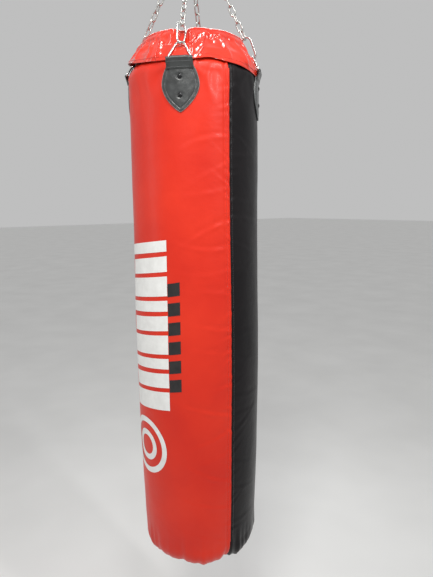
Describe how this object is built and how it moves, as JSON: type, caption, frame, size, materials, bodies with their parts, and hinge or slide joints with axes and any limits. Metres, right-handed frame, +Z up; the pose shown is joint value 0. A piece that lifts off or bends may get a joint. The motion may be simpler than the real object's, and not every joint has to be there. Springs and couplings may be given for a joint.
{
  "type": "hanging punching bag",
  "caption": "Filled cylindrical punching bag with a two-colour glossy cover, leather hanger tabs, snap hooks and chain legs under a swivel, hung to be struck in training.",
  "frame": {"origin": "centre of the bore of the swivel's top eye, which hangs on a ceiling hook or bolt", "axes": "+Z up along the bag's length, -Y towards the middle of the red side, +X to its right"},
  "size_m": [0.3698, 0.369, 1.9647],
  "materials": {
    "red_vinyl": "glossy coated fabric",
    "red_gloss": "high gloss coated fabric",
    "black_vinyl": "satin coated fabric",
    "black_leather": "satin leather",
    "chrome": "polished",
    "zinc_steel": "zinc plated",
    "black_metal": "gloss",
    "zip_black": "matte",
    "webbing": "woven",
    "foam": "matte",
    "fill": "matte"
  },
  "bodies": {
    "upper_eye": {"swivel_upper_eye": "zinc_steel", "swivel_nut": "zinc_steel", "lower_race": "chrome"},
    "swivel": {"swivel_housing": "zinc_steel", "upper_race": "chrome", "bearing_balls": "chrome", "swivel_lower_eye": "zinc_steel"},
    "ring": {"gathering_ring": "zinc_steel"},
    "bag": {"red_panel": "red_vinyl", "black_panel": "black_vinyl", "side_seams": "red_vinyl", "bottom_panel": "red_vinyl", "bottom_binding": "black_vinyl", "foam_lining": "foam", "textile_fill": "fill", "top_cushion": "foam", "lid_wall": "red_vinyl", "lid_panel": "red_vinyl", "rim_binding": "red_gloss", "storm_flap": "red_gloss", "zip_lower_tape": "zip_black", "zip_lower_coil": "zip_black", "zip_upper_tape": "zip_black", "zip_upper_coil": "zip_black", "zip_stops": "black_metal", "webbing_strips": "webbing", "tab_rivets": "black_metal", "rivet_washers": "zinc_steel", "gate_pins": "zinc_steel", "leather_tab_front_left": "black_leather", "leather_tab_front_right": "black_leather", "leather_tab_back_right": "black_leather", "leather_tab_back_left": "black_leather", "snap_hook_front_left": "chrome", "snap_hook_front_right": "chrome", "snap_hook_back_right": "chrome", "snap_hook_back_left": "chrome", "chain_front_left": "zinc_steel", "chain_front_right": "zinc_steel", "chain_back_right": "zinc_steel", "chain_back_left": "zinc_steel"},
    "slider": {"zip_slider": "black_metal"},
    "pull": {"zip_pull": "zip_black"},
    "gate_front_left": {"hook_gate_front_left": "chrome", "gate_spring_front_left": "zinc_steel"},
    "d_front_left": {"d_ring_front_left": "chrome"},
    "gate_front_right": {"hook_gate_front_right": "chrome", "gate_spring_front_right": "zinc_steel"},
    "d_front_right": {"d_ring_front_right": "chrome"},
    "gate_back_right": {"hook_gate_back_right": "chrome", "gate_spring_back_right": "zinc_steel"},
    "d_back_right": {"d_ring_back_right": "chrome"},
    "gate_back_left": {"hook_gate_back_left": "chrome", "gate_spring_back_left": "zinc_steel"},
    "d_back_left": {"d_ring_back_left": "chrome"}
  },
  "joints": [
    {"name": "swivel_turn", "type": "hinge", "parent": "upper_eye", "child": "swivel", "pos_m": [0, 0, -0.045], "axis": [0, 0, 1], "continuous": true},
    {"name": "swing_front_back", "type": "hinge", "parent": "swivel", "child": "ring", "pos_m": [0, 0, -0.08504], "axis": [1, 0, 0], "range_deg": [-40, 40]},
    {"name": "swing_side", "type": "hinge", "parent": "ring", "child": "bag", "pos_m": [0, 0, -0.11689], "axis": [0, 1, 0], "range_deg": [-40, 40]},
    {"name": "slider_run", "type": "hinge", "parent": "bag", "child": "slider", "pos_m": [0, 0, -0.50051], "axis": [0, 0, 1], "range_deg": [0, 300]},
    {"name": "pull_swing", "type": "hinge", "parent": "slider", "child": "pull", "pos_m": [-0.0825, -0.1429, -0.50051], "axis": [-0.4472, -0.7745, 0.4474], "range_deg": [-40, 40]},
    {"name": "gate_open_front_left", "type": "hinge", "parent": "bag", "child": "gate_front_left", "pos_m": [-0.10417, -0.11345, -0.47717], "axis": [0.265, -0.9343, 0.2385], "range_deg": [0, 22], "stiffness_Nm_per_rad": 0.05, "springref_deg": -20.05},
    {"name": "d_ring_tilt_front_left", "type": "hinge", "parent": "bag", "child": "d_front_left", "pos_m": [-0.13223, -0.13223, -0.52352], "axis": [0.7071, -0.7071, 0], "range_deg": [0, 1.7]},
    {"name": "gate_open_front_right", "type": "hinge", "parent": "bag", "child": "gate_front_right", "pos_m": [0.11361, -0.10407, -0.47727], "axis": [0.9387, 0.2606, 0.2257], "range_deg": [0, 22], "stiffness_Nm_per_rad": 0.05, "springref_deg": -20.05},
    {"name": "d_ring_tilt_front_right", "type": "hinge", "parent": "bag", "child": "d_front_right", "pos_m": [0.13223, -0.13223, -0.52352], "axis": [0.7071, 0.7071, 0], "range_deg": [0, 1.7]},
    {"name": "gate_open_back_right", "type": "hinge", "parent": "bag", "child": "gate_back_right", "pos_m": [0.10431, 0.11336, -0.47685], "axis": [-0.2659, 0.9331, 0.2421], "range_deg": [0, 22], "stiffness_Nm_per_rad": 0.05, "springref_deg": -20.05},
    {"name": "d_ring_tilt_back_right", "type": "hinge", "parent": "bag", "child": "d_back_right", "pos_m": [0.13223, 0.13223, -0.52352], "axis": [-0.7071, 0.7071, 0], "range_deg": [0, 1.7]},
    {"name": "gate_open_back_left", "type": "hinge", "parent": "bag", "child": "gate_back_left", "pos_m": [-0.1138, 0.10405, -0.47713], "axis": [-0.9448, -0.2542, 0.2067], "range_deg": [0, 22], "stiffness_Nm_per_rad": 0.05, "springref_deg": -20.05},
    {"name": "d_ring_tilt_back_left", "type": "hinge", "parent": "bag", "child": "d_back_left", "pos_m": [-0.13223, 0.13223, -0.52352], "axis": [-0.7071, -0.7071, 0], "range_deg": [0, 1.7]}
  ]
}
